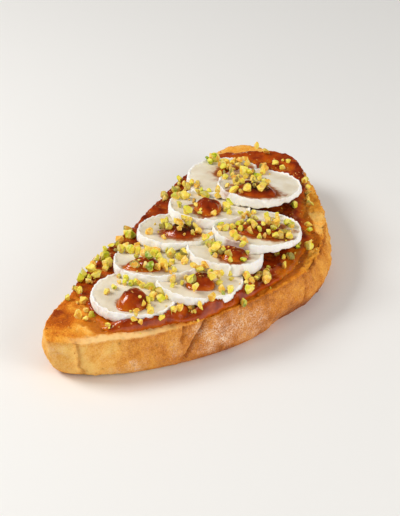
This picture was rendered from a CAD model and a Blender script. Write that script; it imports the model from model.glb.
"""Goat cheese toast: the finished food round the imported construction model, in metres and in its frame.

+X runs along the loaf slice, +Y is the side that was the loaf's flat base, and the toast lies on z = 0.
The sections follow the toast as it is made, but the cheese stands before the jam that gives way to it.
"""

import math
import random
from collections import namedtuple

import bmesh
import bpy
import numpy as np
from mathutils import Euler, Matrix, Vector, geometry, kdtree, noise
from mathutils.bvhtree import BVHTree


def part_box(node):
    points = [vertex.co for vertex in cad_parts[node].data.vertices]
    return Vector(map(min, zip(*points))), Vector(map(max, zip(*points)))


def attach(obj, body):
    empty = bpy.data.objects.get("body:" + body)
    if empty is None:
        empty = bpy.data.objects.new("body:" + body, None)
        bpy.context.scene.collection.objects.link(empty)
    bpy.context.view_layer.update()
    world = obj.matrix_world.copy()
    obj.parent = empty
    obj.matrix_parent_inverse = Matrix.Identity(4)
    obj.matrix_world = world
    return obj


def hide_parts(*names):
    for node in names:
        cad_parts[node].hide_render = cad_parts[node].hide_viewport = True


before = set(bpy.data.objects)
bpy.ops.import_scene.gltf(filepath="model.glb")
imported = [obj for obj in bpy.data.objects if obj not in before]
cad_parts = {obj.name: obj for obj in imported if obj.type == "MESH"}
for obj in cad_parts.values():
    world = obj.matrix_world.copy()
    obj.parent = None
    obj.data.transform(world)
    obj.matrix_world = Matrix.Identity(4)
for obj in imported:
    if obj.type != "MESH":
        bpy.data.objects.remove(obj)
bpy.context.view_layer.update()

# ---- The viewpoint --------------------------------------------------------------------------------------
# The toast is seen along the loaf from its near tip and from above, through a long lens. Where something
# was read off the photograph, it is named by its pixel in the 400 x 516 picture and found along this view.
MM = 0.001
PHOTO_WIDTH, PHOTO_HEIGHT = 400, 516
VIEW_AZIMUTH, VIEW_ELEVATION = math.radians(-64), math.radians(32)
VIEW_DISTANCE = 1.0
LENS_LENGTH, SENSOR_WIDTH = 118.4, 36.0
AIMED_AT = Vector((-4.8, 20.8, 14.5)) * MM
AIM_PIXEL = (186, 262)

pixels_per_slope = LENS_LENGTH / SENSOR_WIDTH * PHOTO_HEIGHT
towards_viewer = Vector(
    (
        math.sin(VIEW_AZIMUTH) * math.cos(VIEW_ELEVATION),
        -math.cos(VIEW_AZIMUTH) * math.cos(VIEW_ELEVATION),
        math.sin(VIEW_ELEVATION),
    )
)
view_right = Vector((math.cos(VIEW_AZIMUTH), math.sin(VIEW_AZIMUTH), 0))
view_up = towards_viewer.cross(view_right)


def sight_line(pixel):
    """The direction from the camera through a pixel of the photograph."""
    across = (pixel[0] - PHOTO_WIDTH / 2) / pixels_per_slope
    down = (pixel[1] - PHOTO_HEIGHT / 2) / pixels_per_slope
    return view_right * across - view_up * down - towards_viewer


camera = bpy.data.objects.new("camera", bpy.data.cameras.new("camera"))
bpy.context.scene.collection.objects.link(camera)
camera.data.lens = LENS_LENGTH
camera.data.sensor_width = SENSOR_WIDTH
camera.location = AIMED_AT - sight_line(AIM_PIXEL) * VIEW_DISTANCE
camera.rotation_mode = "QUATERNION"
camera.rotation_quaternion = (-towards_viewer).to_track_quat("-Z", "Y")
bpy.context.scene.camera = camera

# ---- The bread ------------------------------------------------------------------------------------------
# A long slice of a country loaf, toasted on its cut faces: a thin floury crust round an open crumb. It is
# the construction slice in small even faces, drawn in along its creases and roughened like baked dough.
BREAD_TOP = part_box("bread_slice")[1].z
BREAD_GRAIN = 0.85 * MM  # size of its even faces
LOAF_OUTLINE = [
    (125, 26), (125.5, 41), (116, 52.5), (92, 57.5), (44, 59.5), (-6, 59.5), (-56, 60), (-101, 59.5),
    (-118.5, 55), (-127, 45), (-124.5, 29), (-112, 12), (-94, -6), (-69, -27), (-37, -45.5), (-4, -57.5),
    (19, -59.5), (52, -48.5), (79.5, -29.5), (99.5, -11), (114.5, 1), (122, 13),
]  # fmt: skip
JAM_OUTLINE = [
    (119, 17), (114, 30), (111, 38), (104, 46), (90, 53.5), (64, 57), (30, 57.5), (0, 57), (-30, 58),
    (-56, 58), (-72, 56.5), (-79, 52), (-82, 47), (-87, 41), (-93, 34.5), (-99, 28.5), (-104, 22),
    (-103.5, 14.5), (-99.5, 8), (-91.5, -0.5), (-83, -8.5), (-75, -17), (-66, -24.5), (-52, -31),
    (-41, -36), (-30, -39.5), (-20, -43), (-9, -45.5), (1, -47), (11, -45), (22, -44), (30, -45.5),
    (36, -43.5), (43, -37.5), (52, -31.5), (62, -26), (78, -20), (92, -14), (105, -6.5), (115, 1), (120, 9),
]  # fmt: skip

# Creases of the crust: way round at the upper and at the lower edge (shares of the outline), the heights
# between which the crease runs (mm), depth and half width (mm), how dark it is, and by how much the crust
# stands out just past it (mm).
Crease = namedtuple("Crease", "way_high way_low low high depth half_width dark step")
CRUST_CREASES = [
    Crease(0.486, 0.492, -3, 29, 2.4, 2.0, 0.22, 0.5),
    Crease(0.586, 0.581, 15, 29, 1.5, 1.4, 0.9, 0),
    Crease(0.610, 0.575, 4, 29, 2.2, 1.7, 1.0, 1.0),
    Crease(0.648, 0.640, 12, 29, 0.5, 1.6, 0.1, 0),
    Crease(0.696, 0.684, -3, 20, 0.7, 1.4, 0.3, 0),
    Crease(0.731, 0.722, 6, 29, 1.2, 1.0, 0.8, 0),
    Crease(0.744, 0.739, 15, 29, 1.2, 0.9, 0.9, 0),
    Crease(0.757, 0.756, -3, 19, 1.0, 1.3, 0.4, 0),
    Crease(0.788, 0.780, 8, 29, 2.0, 1.3, 1.0, 0.8),
    Crease(0.806, 0.800, -3, 24, 1.0, 1.4, 0.5, 0),
    Crease(0.830, 0.822, 10, 29, 1.3, 1.0, 0.8, 0),
    Crease(0.885, 0.870, -3, 29, 1.2, 1.5, 0.4, 0),
    Crease(0.940, 0.930, -3, 29, 0.8, 1.4, 0.2, 0),
    Crease(0.100, 0.115, -3, 22, 0.9, 1.8, 0.3, 0),
    Crease(0.235, 0.222, 4, 29, 1.0, 1.5, 0.4, 0),
    Crease(0.330, 0.345, -3, 29, 0.8, 2.0, 0.2, 0),
]

# Flour that stayed on the crust: way round, height, half sizes (mm) and strength of each patch.
FLOUR_PATCHES = [
    (0.463, 21, 5, 5, 0.45), (0.535, 6, 9, 5, 0.55), (0.512, 17, 6, 6, 0.15), (0.578, 13, 5, 8, 0.35),
    (0.600, 20, 8, 6, 0.60), (0.623, 14, 15, 10, 0.85), (0.655, 12, 14, 9, 0.60), (0.690, 9, 10, 6, 0.22),
    (0.765, 8, 8, 7, 0.15), (0.060, 12, 14, 8, 0.50), (0.160, 14, 20, 8, 0.40), (0.300, 10, 24, 9, 0.55),
    (0.380, 16, 12, 7, 0.40), (0.900, 10, 12, 7, 0.30),
]  # fmt: skip

# Where the crumb is torn from the crust along the upper edge: from and to, by the way round.
TORN_WAYS = [(0.737, 0.763), (0.777, 0.799), (0.812, 0.829)]

# Unevenness in layers: how deep, how far apart the swells are (mm), a seed, and octaves where not 3.
BURST_CRUST = [(0.50, 4, 17, 2), (0.22, 1.6, 18, 1)]
CUT_CRUMB = [(0.24, 2.4, 7), (0.16, 1.0, 8, 1)]
TORN_CRUMB = [(0.38, 3.1, 9), (0.24, 1.3, 10, 1)]
CRUST_PITS, CRUMB_PORES = 45, 2200

# The section of the slice's side from half way up to the cut face: (mm inside the outline, mm up) as the
# construction part has it. The real one goes straight up to a crisp edge instead, and how far that edge
# is set in from the outline (mm) is measured off the photograph by the way round.
CAST_SECTION = [(-0.27, 9.0), (0.0, 17.5), (1.06, 24.6), (3.45, 26.5), (12.0, 26.5)]
(FOOT_IN, FOOT_UP), (HEAD_IN, HEAD_UP) = CAST_SECTION[0], CAST_SECTION[-1]
CORNER_AT, SECTION_LENGTH = 17.4, 27.2  # mm along the section
EDGE_INSETS = [
    (0, 1.5), (0.39, 4.6), (0.437, 4.0), (0.455, 2.5), (0.467, 3.3), (0.49, 2.3), (0.515, 2.8), (0.545, 0.7),
    (0.567, 0.9), (0.592, 1.9), (0.61, 3.0), (0.635, 3.9), (0.715, 4.8), (0.738, 4.6), (0.752, 6.6),
    (0.785, 7.0), (0.818, 5.6), (0.834, 3.9), (0.853, 2.4), (0.877, 0.8), (0.90, -0.7), (0.925, -1.6),
    (0.94, -1.0), (1.0, 1.5),
]  # fmt: skip

# How far the cut face is toasted and the crust is baked, by the way round (hundredths).
TOASTED = [
    (0, 22), (0.06, 25), (0.40, 45), (0.44, 28), (0.50, 25), (0.60, 38), (0.67, 52), (0.76, 40), (0.82, 20),
    (0.88, 18), (0.92, 12), (1, 20),
]  # fmt: skip
BAKED = [
    (0, 35), (0.38, 38), (0.45, 16), (0.49, 4), (0.53, 33), (0.57, 60), (0.61, 68), (0.68, 66), (0.74, 62),
    (0.80, 34), (0.92, 8), (1, 35),
]  # fmt: skip
# How far jam soaked into the bread past the spread (tenths of a mm), and how much of it (hundredths).
SOAKED_WAYS = [0, 0.39, 0.42, 0.49, 0.51, 0.61, 0.66, 0.72, 0.84, 0.88, 1]
SOAKED_REACH = [15, 20, 190, 180, 60, 14, 45, 60, 60, 12, 15]
SOAKED_AMOUNT = [60, 60, 56, 60, 66, 60, 62, 80, 72, 45, 50]


def curve_between(before, start, end, after, t):
    """The Catmull-Rom curve from start to end, between their neighbours before and after."""
    bend = 2 * before - 5 * start + 4 * end - after
    twist = 3 * start - before - 3 * end + after
    return 0.5 * (2 * start + (end - before) * t + bend * t**2 + twist * t**3)


def smooth_loop(outline, count):
    """The closed curve through an outline in mm, as count even steps in metres, and its length."""
    points = np.array(outline, float) * MM
    before, end, after = (np.roll(points, shift, 0) for shift in (1, -1, -2))
    t = np.arange(16)[:, None, None] / 16
    fine = curve_between(before, points, end, after, t).transpose(1, 0, 2).reshape(-1, 2)
    closed = np.vstack([fine, fine[:1]])
    lengths = np.concatenate([[0], np.cumsum(np.linalg.norm(np.diff(closed, axis=0), axis=1))])
    wanted = lengths[-1] * np.arange(count) / count
    return np.column_stack([np.interp(wanted, lengths, closed[:, k]) for k in (0, 1)]), lengths[-1]


def in_plan(points):
    """The points laid down on z = 0."""
    return np.column_stack([points[:, :2], np.zeros(len(points))])


def sorted_by_place(points):
    """The points in a tree that finds those near a place."""
    tree = kdtree.KDTree(len(points))
    for i, point in enumerate(points.tolist()):
        tree.insert(point, i)
    tree.balance()
    return tree


def inwards_of(loop):
    """The direction into a loop, in plan, at each of its points."""
    along = np.roll(loop, -1, 0) - np.roll(loop, 1, 0)
    return np.column_stack([-along[:, 1], along[:, 0]]) / np.linalg.norm(along, axis=1)[:, None]


def measured_from(loop, points):
    """For each point, in plan: how far inside the loop it lies (m), and its way round it (0 to 1)."""
    tree = sorted_by_place(in_plan(loop))
    nearest = np.array([tree.find(place)[1] for place in in_plan(points).tolist()])
    inside = ((points[:, :2] - loop[nearest]) * inwards_of(loop)[nearest]).sum(1)
    return inside, nearest / len(loop)


def moved_in(points, loop, way, distance):
    """Moves points in place, in plan, into the loop that has them at these ways round it."""
    nearest = np.rint(way * len(loop)).astype(int) % len(loop)
    points[:, :2] += inwards_of(loop)[nearest] * distance[:, None]


def ripple(points, size, seed=0, octaves=3):
    """Soft unevenness between about -1 and 1, whose largest swells are `size` apart."""
    places = (points / size + 7.31 * seed).tolist()
    return 1.6 * np.array([noise.fractal(place, 1.0, 2.0, octaves) for place in places])


def rough(points, layers):
    """Unevenness in layers, in their own unit of depth."""
    return sum(deep * ripple(points, apart * MM, *settings) for deep, apart, *settings in layers)


def ease(value, low, high):
    """0 below low, 1 above high, and a smooth step between them; low may be the larger one."""
    t = np.clip((value - low) / (high - low), 0, 1)
    return t * t * (3 - 2 * t)


def stretch(value, start, full, fading, end):
    """1 between full and fading, 0 before start and past end, and smooth steps between."""
    return ease(value, start, full) * ease(value, end, fading)


def by_way(way, table):
    """The value that a table of (way round, value) gives at each way round."""
    return np.interp(way, *zip(*table))


def points_of(mesh, what="co"):
    """A mesh's points, or with "normal" their normals, as rows."""
    values = np.empty(len(mesh.vertices) * 3)
    mesh.vertices.foreach_get(what, values)
    return values.reshape(-1, 3)


def place_points(mesh, points):
    """Moves a mesh's points to these places."""
    mesh.vertices.foreach_set("co", points.ravel())
    mesh.update()


def add_mask(mesh, name, values, domain="POINT"):
    """Stores one number per point or face, from 0 to 1, for the material to read."""
    layer = mesh.attributes.new(name, "FLOAT", domain)
    layer.data.foreach_set("value", np.clip(values, 0, 1).astype(np.float32))


def add_piece(name, mesh, material, replaced=()):
    """Puts a finished mesh into the scene as a piece of the toast."""
    piece = bpy.data.objects.new(name, mesh)
    bpy.context.scene.collection.objects.link(piece)
    mesh.materials.clear()
    mesh.materials.append(material)
    mesh.shade_smooth()
    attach(piece, "root")
    if replaced:
        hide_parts(*replaced)
    return piece


def round_marks(points, sites, radii, heights, reach):
    """How much round dents or lumps at these sites move each point, out to reach times their radius."""
    tree = sorted_by_place(points)
    moved = np.zeros(len(points))
    for site, radius, height in zip(sites, radii, heights):
        for _, i, distance in tree.find_range(site, reach * radius):
            moved[i] = max(moved[i], height * math.exp(-((distance / radius) ** 2)))
    return moved


def even_mesh(node, grain, softened):
    """A node's solid as a mesh of even faces, its facets smoothed away."""
    source = bpy.data.objects.new("source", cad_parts[node].data.copy())
    bpy.context.scene.collection.objects.link(source)
    even = source.modifiers.new("even", "REMESH")
    even.mode = "VOXEL"
    even.voxel_size = grain
    soft = source.modifiers.new("soft", "SMOOTH")
    soft.factor = 0.5
    soft.iterations = softened
    evaluated = source.evaluated_get(bpy.context.evaluated_depsgraph_get())
    mesh = bpy.data.meshes.new_from_object(evaluated)
    bpy.data.objects.remove(source)
    return mesh


def along_section(inside, height):
    """How far along the section each point lies, and how far within it (mm)."""
    gone, within, nearest = np.zeros(len(inside)), np.zeros(len(inside)), np.full(len(inside), np.inf)
    walked = 0.0
    for (from_in, from_up), (to_in, to_up) in zip(CAST_SECTION, CAST_SECTION[1:]):
        run, rise = to_in - from_in, to_up - from_up
        length = math.hypot(run, rise)
        share = np.clip(((inside - from_in) * run + (height - from_up) * rise) / length**2, 0, 1)
        past_in, past_up = inside - from_in - share * run, height - from_up - share * rise
        distance = np.hypot(past_in, past_up)
        gone = np.where(distance < nearest, walked + share * length, gone)
        within = np.where(distance < nearest, past_in, within)
        nearest = np.minimum(distance, nearest)
        walked += length
    return gone, within


def evened_out(mesh, points, shares, rounds):
    """The points of a mesh, each moved by its share towards the middle of its neighbours, in rounds."""
    ends = np.empty(2 * len(mesh.edges), int)
    mesh.edges.foreach_get("vertices", ends)
    one_end, other_end = ends.reshape(-1, 2).T
    count = len(points)
    neighbours = np.bincount(ends, minlength=count)[:, None]
    for _ in range(rounds):
        sums = [
            np.bincount(one_end, along[other_end], count) + np.bincount(other_end, along[one_end], count)
            for along in points.T
        ]
        points = points + shares[:, None] * (np.column_stack(sums) / neighbours - points)
    return points


# The side is redrawn up to its crisp edge, and then evened out, because the faces don't follow the edge.
bread_mesh = even_mesh("bread_slice", BREAD_GRAIN, 6)
loaf_loop, loaf_girth = smooth_loop(LOAF_OUTLINE, 1500)
jam_loop, _ = smooth_loop(JAM_OUTLINE, 1200)
points = points_of(bread_mesh)
inside, way = measured_from(loaf_loop, points)
gone, within = along_section(inside / MM, points[:, 2] / MM)
edge = by_way(way, EDGE_INSETS)
climbed = np.clip(gone / CORNER_AT, 0, 1)
onwards = np.clip((gone - CORNER_AT) / (SECTION_LENGTH - CORNER_AT), 0, 1)
on_top = onwards > 0
slant = 1.3 + 0.13 * np.clip(edge, 0, 7)
drawn_in = np.where(on_top, edge + onwards * (HEAD_IN - edge), FOOT_IN + (edge - FOOT_IN) * climbed**slant)
drawn_in += within * (1 - climbed**4) - inside / MM
near_corner = (points[:, 2] > FOOT_UP * MM) & (inside < HEAD_IN * MM)
moved_in(points, loaf_loop, way, drawn_in * near_corner * MM)
raised = np.where(on_top, BREAD_TOP, (FOOT_UP + (HEAD_UP - FOOT_UP) * climbed) * MM)
points[:, 2] = np.where(near_corner, raised, points[:, 2])
from_edge = np.where(on_top, onwards * (HEAD_IN - edge), gone - CORNER_AT)
from_edge = np.where(near_corner, from_edge, np.where(points[:, 2] > 20 * MM, HEAD_IN, -20))
points = evened_out(bread_mesh, points, 0.7 * ease(np.abs(from_edge), 2.4, 0.8), 4)
place_points(bread_mesh, points)

points, normals = points_of(bread_mesh), points_of(bread_mesh, "normal")
height, facing_up = points[:, 2] / MM, normals[:, 2]
inside, way = measured_from(loaf_loop, points)
inside_jam, _ = measured_from(jam_loop, points)
side = ease(np.abs(facing_up), 0.88, 0.5)
upper_face = ease(facing_up, 0.62, 0.92) * (height > 20)
lower_face = ease(-facing_up, 0.62, 0.92) * (height < 6)
flat = np.maximum(upper_face, lower_face)

# The crust: swells of the dough, fine wrinkles that run across the slice, creases and small burst pits.
swell = 0.55 * ripple(points * (1, 1, 0.5), 15 * MM, 1) + 0.26 * ripple(points, 5 * MM, 2)
wrinkle = 0.14 * ripple(points * (1, 1, 0.4), 2.2 * MM, 3, 2) + 0.12 * ripple(points, 1.3 * MM, 4, 1)
burst_open = stretch(way, 0.725, 0.77, 0.92, 0.98)
wrinkle = wrinkle + burst_open * rough(points, BURST_CRUST)
sunk = np.zeros(len(points))
crack = np.zeros(len(points))
wander = 1.2 * MM * ripple(points, 6 * MM, 5, 2)
for crease in CRUST_CREASES:
    middle = crease.way_low + (crease.way_high - crease.way_low) * (height * MM) / BREAD_TOP
    past = ((way - middle + 0.5) % 1 - 0.5) * loaf_girth + wander
    run = stretch(height, crease.low, crease.low + 3, crease.high - 2, crease.high)
    valley = np.exp(-((past / (crease.half_width * MM)) ** 2)) * run
    slit = np.exp(-((past / (0.4 * crease.half_width * MM)) ** 2)) * run
    sunk = np.maximum(sunk, crease.depth * (0.6 * valley + 0.9 * slit * crease.dark))
    swell += crease.step * run * stretch(past, 0, 1 * MM, 3 * MM, 22 * MM)
    crack = np.maximum(crack, slit * crease.dark * (0.75 + 0.5 * ripple(points, 3 * MM, 6, 1)))
shake = random.Random(4)
on_crust = np.flatnonzero((side > 0.9) & (height > 2) & (height < 24))
pit_sites = points[[shake.choice(on_crust) for _ in range(CRUST_PITS)]]
pit_radii = [shake.uniform(0.5, 1.0) * MM for _ in pit_sites]
burst = round_marks(points, pit_sites, pit_radii, [shake.uniform(0.2, 1.0) for _ in pit_sites], 2.2)

# The cut faces: toasted crumb with pores of many sizes, rougher where it is torn along the upper edge.
on_crumb = np.flatnonzero(upper_face + lower_face > 0.8)
on_crumb = on_crumb[(inside_jam[on_crumb] < 3 * MM) | (height[on_crumb] < 5)]
pore_sites = points[[shake.choice(on_crumb) for _ in range(CRUMB_PORES)]]
pore_radii = [0.45 * MM + 0.9 * MM * shake.random() ** 3 for _ in pore_sites]
pores = round_marks(points, pore_sites, pore_radii, [min(1.1, 0.9 * r / MM) for r in pore_radii], 2.2)
crumb_rough = rough(points, CUT_CRUMB)
crumb_rough *= 1 + 1.3 * stretch(way, 0.72, 0.77, 0.89, 0.93) * ease(inside_jam, 0, -1.5 * MM)
cut_edge = ease(from_edge, 5, 0) * ease(from_edge, -2.5, -0.5)
cut_edge *= 1 + 0.9 * stretch(way, 0.72, 0.78, 0.85, 0.90)
torn = cut_edge * rough(points, TORN_CRUMB)
split = np.zeros(len(points))
for start, end in TORN_WAYS:
    split = np.maximum(split, stretch(way, start - 0.003, start + 0.003, end - 0.003, end + 0.003))
torn_line = (from_edge + 1.2 * ripple(points, 5 * MM, 15, 2)) / 0.6
split *= np.exp(-(torn_line**2)) * ease(ripple(points, 3 * MM, 16, 2), -0.5, 0.2)

# All of it moves the surface out or in (mm); the underside stays flat and the lower right foot draws in.
push = side * (swell + wrinkle - sunk - burst) + flat * (crumb_rough - 0.9 * pores) + torn - 2.4 * split
push = np.where(lower_face > 0.3, np.minimum(push * 0.4, 0), push)
points = points + normals * push[:, None] * MM
points[:, 2] = np.clip(points[:, 2], 0, BREAD_TOP + 0.45 * MM)
hollow = 4.5 * MM * stretch(way, 0.655, 0.70, 0.80, 0.86)
hollow = hollow * ease(height, 15, 0) * ease(inside, 30 * MM, 5 * MM)
moved_in(points, loaf_loop, way, hollow)
place_points(bread_mesh, points)

# How it is baked and toasted, by the way round: the crust is lightest at the near tip and brownest, under
# flour, by the long crease. The cut face is pale along the near front and toasted red-brown at the tip.
x, y = points[:, 0] / MM, points[:, 1] / MM
edge_wave = 0.8 * ripple(points, 4 * MM, 11, 2)
patchy = ripple(points, 22 * MM, 12, 3)
blotch = ripple(points, 8 * MM, 13, 2)
crumb = ease(from_edge + 0.5 * edge_wave, -0.7, 0.1) + lower_face
pale = crumb * stretch(way, 0.466, 0.505, 0.555, 0.600) * ease(from_edge + 1.3 * edge_wave, 7.5, 4)
from_tip_patch = np.hypot((x + 105) / 9.5, (y - 49) / 8)
from_base_patch = np.hypot((x + 88) / 13, (y - 54) / 3.5)
toasted = by_way(way, TOASTED) / 100 + 0.10 * patchy + 0.13 * blotch
toasted += 0.44 * ease(from_tip_patch + 0.5 * blotch, 1.5, 0.3) * upper_face
toasted += 0.30 * ease(from_base_patch + 0.5 * blotch, 1.6, 0.4) * upper_face
baked = by_way(way, BAKED) / 100 + 0.10 * patchy + 0.12 * blotch + 0.14 * ease(height, 6, 0)
baked += 0.10 * (1 + 2 * burst_open) * np.exp(-(((from_edge + 1.0) / 1.1) ** 2))
baked += 0.22 * burst_open * ease(height, 15, 5)
baked += 0.34 * stretch(way, 0.68, 0.71, 0.75, 0.78) * ease(height, 14, 3)
flour = 0.10 - 0.07 * burst_open
for middle, up, half_way, half_up, strength in FLOUR_PATCHES:
    far = np.hypot(((way - middle + 0.5) % 1 - 0.5) * loaf_girth / half_way / MM, (height - up) / half_up)
    flour = np.maximum(flour, strength * ease(far + 0.45 * blotch, 1.5, 0.3))
reach = np.interp(way, SOAKED_WAYS, SOAKED_REACH) / 10 * MM
amount = np.interp(way, SOAKED_WAYS, SOAKED_AMOUNT) / 100
soaked = amount * ease(inside_jam, -reach * (1 + 0.5 * blotch), -0.35 * reach) * upper_face
soaked = soaked * ease(from_tip_patch, 0.5, 1.2) * (1 - 0.9 * pale)
add_mask(bread_mesh, "crumb", crumb)
add_mask(bread_mesh, "browning", crumb * toasted + (1 - crumb) * baked)
add_mask(bread_mesh, "pale_band", pale)
add_mask(bread_mesh, "flour", flour * side * ease(from_edge, 0, -0.8))
add_mask(bread_mesh, "crack", np.maximum(crack, 0.6 * burst) * side + 0.3 * pores * flat + split)
add_mask(bread_mesh, "soaked", soaked)


def connect(tree, node, inputs):
    """Links each socket among the inputs, pairs of (name or number, value), and sets each other value."""
    for key, value in inputs:
        if isinstance(value, bpy.types.NodeSocket):
            tree.links.new(value, node.inputs[key])
        else:
            node.inputs[key].default_value = value


def add_node(tree, kind, inputs=(), **settings):
    """Adds a shader node with its settings and inputs."""
    made = tree.nodes.new("ShaderNode" + kind)
    for name, value in settings.items():
        setattr(made, name, value)
    connect(tree, made, inputs)
    return made


def read_mask(tree, name):
    """The number that add_mask stored under this name."""
    return add_node(tree, "Attribute", attribute_name=name).outputs["Fac"]


def blend_colours(tree, share, first, second):
    """A colour between two others; each may be a colour or a socket."""
    first, second = (c if isinstance(c, bpy.types.NodeSocket) else (*c, 1) for c in (first, second))
    made = add_node(tree, "Mix", [(0, share), (6, first), (7, second)], data_type="RGBA")
    return made.outputs[2]


def reckon(tree, operation, *values):
    """One step of arithmetic on numbers and sockets."""
    made = add_node(tree, "Math", enumerate(values), operation=operation)
    return made.outputs[0]


def colour_steps(tree, value, steps):
    """A colour ramp: steps are (place, colour)."""
    made = add_node(tree, "ValToRGB", [(0, value)])
    ramp = made.color_ramp
    while len(ramp.elements) < len(steps):
        ramp.elements.new(0.5)
    for element, (place, colour) in zip(ramp.elements, steps):
        element.position = place
        element.color = (*colour, 1)
    return made.outputs[0]


def spots(tree, size, detail=2.0):
    """Noise in the piece's own space with swells of this size (m), from 0 to 1."""
    where = add_node(tree, "TexCoord").outputs["Object"]
    made = add_node(tree, "TexNoise", [("Vector", where), ("Scale", 1 / size), ("Detail", detail)])
    return made.outputs[0]


def new_material(name):
    """A new material, with its node tree and its shader."""
    made = bpy.data.materials.new(name)
    made.use_nodes = True
    return made, made.node_tree, made.node_tree.nodes["Principled BSDF"]


def new_group(name, inputs, outputs):
    """A shader node group with named inputs (name, kind, value) and outputs (name, kind)."""
    group = bpy.data.node_groups.new(name, "ShaderNodeTree")
    for label, kind, value in inputs:
        socket = group.interface.new_socket(label, in_out="INPUT", socket_type="NodeSocket" + kind)
        socket.default_value = value
    for label, kind in outputs:
        group.interface.new_socket(label, in_out="OUTPUT", socket_type="NodeSocket" + kind)
    return group, group.nodes.new("NodeGroupInput").outputs, group.nodes.new("NodeGroupOutput").inputs


def spread_out(tree, value, low, high, end_low=0.0, end_high=1.0, **settings):
    """A value between low and high as one between the two ends, and held at them beyond."""
    inputs = [(0, value), (1, low), (2, high), (3, end_low), (4, end_high)]
    return add_node(tree, "MapRange", inputs, **settings).outputs[0]


def finish_looks(tree, shader, bumps, inputs):
    """Gives a material's shader its bumps, (height, strength, depth), and its other inputs."""
    height, strength, depth = bumps
    bump = add_node(tree, "Bump", [("Height", height), ("Strength", strength), ("Distance", depth)])
    connect(tree, shader, [("Normal", bump.outputs[0]), *inputs.items()])


# Jam that soaks into the bread and stains the cheese: it tints what it wets, from amber where it is thin
# to mahogany where it is deep, and leaves it glossy.
AMBER, MAHOGANY = (0.60, 0.175, 0.010), (0.26, 0.038, 0.004)
JAM_GLOSS = 0.17
jam_stain, stain_in, stain_out = new_group(
    "jam_stain",
    [
        ("Clean Colour", "Color", (1, 1, 1, 1)),
        ("Clean Roughness", "Float", 0.5),
        ("Stain", "Float", 0.0),
        ("Thin Colour", "Color", (0.80, 0.40, 0.16, 1)),
        ("Thick Colour", "Color", (*AMBER, 1)),
    ],
    [("Colour", "Color"), ("Roughness", "Float")],
)
wavy = reckon(jam_stain, "MULTIPLY_ADD", spots(jam_stain, 2.4 * MM), 0.28, -0.14)
uneven = reckon(jam_stain, "ADD", stain_in["Stain"], wavy)
reached = reckon(jam_stain, "GREATER_THAN", stain_in["Stain"], 0.01)
wet = reckon(jam_stain, "MULTIPLY", uneven, reached)
wet = spread_out(jam_stain, wet, 0.02, 0.72, interpolation_type="SMOOTHSTEP")
thickened = spread_out(jam_stain, uneven, 0.05, 0.5)
deepened = spread_out(jam_stain, uneven, 0.5, 1.0)
tint = blend_colours(jam_stain, thickened, stain_in["Thin Colour"], stain_in["Thick Colour"])
tint = blend_colours(jam_stain, deepened, tint, MAHOGANY)
matt = reckon(jam_stain, "MULTIPLY_ADD", wet, -1.0, 1.0)
glossy = reckon(jam_stain, "MULTIPLY", wet, JAM_GLOSS)
jam_stain.links.new(blend_colours(jam_stain, wet, stain_in["Clean Colour"], tint), stain_out["Colour"])
roughness = reckon(jam_stain, "MULTIPLY_ADD", matt, stain_in["Clean Roughness"], glossy)
jam_stain.links.new(roughness, stain_out["Roughness"])

# Fine grain of baked, grated or bloomy surfaces: a mottling of tone and the height of the small bumps.
fine_grain, grain_in, grain_out = new_group(
    "fine_grain",
    [("Grain Size", "Float", 0.001), ("Mottle", "Float", 0.5)],
    [("Mottling", "Float"), ("Height", "Float")],
)
where = add_node(fine_grain, "TexCoord").outputs["Object"]
finest = reckon(fine_grain, "DIVIDE", 1.0, grain_in["Grain Size"])
small = add_node(fine_grain, "TexNoise", [("Vector", where), ("Scale", finest), ("Detail", 3.0)]).outputs[0]
broader = reckon(fine_grain, "MULTIPLY", finest, 0.3)
broad = add_node(fine_grain, "TexNoise", [("Vector", where), ("Scale", broader), ("Detail", 2.0)]).outputs[0]
both = reckon(fine_grain, "MULTIPLY_ADD", broad, 0.35, reckon(fine_grain, "MULTIPLY", small, 0.65))
centred = reckon(fine_grain, "SUBTRACT", both, 0.5)
fine_grain.links.new(reckon(fine_grain, "MULTIPLY", centred, grain_in["Mottle"]), grain_out["Mottling"])
fine_grain.links.new(both, grain_out["Height"])


def grained(tree, size, mottle):
    """The mottling and the height of grain of this size."""
    made = add_node(tree, "Group", [("Grain Size", size), ("Mottle", mottle)], node_tree=fine_grain)
    return made.outputs["Mottling"], made.outputs["Height"]


def stained_with_jam(tree, clean_colour, clean_roughness, stain, thin, thick=AMBER):
    """A colour and a roughness with jam on them, which goes from a thin film's colour to a thick one's."""
    inputs = [("Clean Colour", clean_colour), ("Clean Roughness", clean_roughness), ("Stain", stain)]
    inputs += [("Thin Colour", (*thin, 1)), ("Thick Colour", (*thick, 1))]
    made = add_node(tree, "Group", inputs, node_tree=jam_stain)
    return made.outputs["Colour"], made.outputs["Roughness"]


bread_looks, tree, shader = new_material("toasted_bread")
mottling, bumps = grained(tree, 0.7 * MM, 1.15)
browned = reckon(tree, "ADD", read_mask(tree, "browning"), mottling)
crust_steps = [(0, (0.93, 0.56, 0.15)), (0.3, (0.82, 0.37, 0.055)), (0.62, (0.60, 0.195, 0.020))]
crust_steps += [(1, (0.25, 0.055, 0.006))]
cut_face_steps = [(0, (0.94, 0.56, 0.15)), (0.3, (0.88, 0.37, 0.035)), (0.62, (0.62, 0.145, 0.004))]
cut_face_steps += [(1, (0.28, 0.038, 0.002))]
crust_colour = colour_steps(tree, browned, crust_steps)
crumb_colour = colour_steps(tree, browned, cut_face_steps)
colour = blend_colours(tree, read_mask(tree, "crumb"), crust_colour, crumb_colour)
colour = blend_colours(tree, read_mask(tree, "pale_band"), colour, (0.91, 0.58, 0.23))
speckle = spread_out(tree, spots(tree, 0.8 * MM, 4.0), 0.43, 0.60)
clumped = spread_out(tree, spots(tree, 4.5 * MM, 4.0), 0.36, 0.60, 0.3, 1.25)
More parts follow.
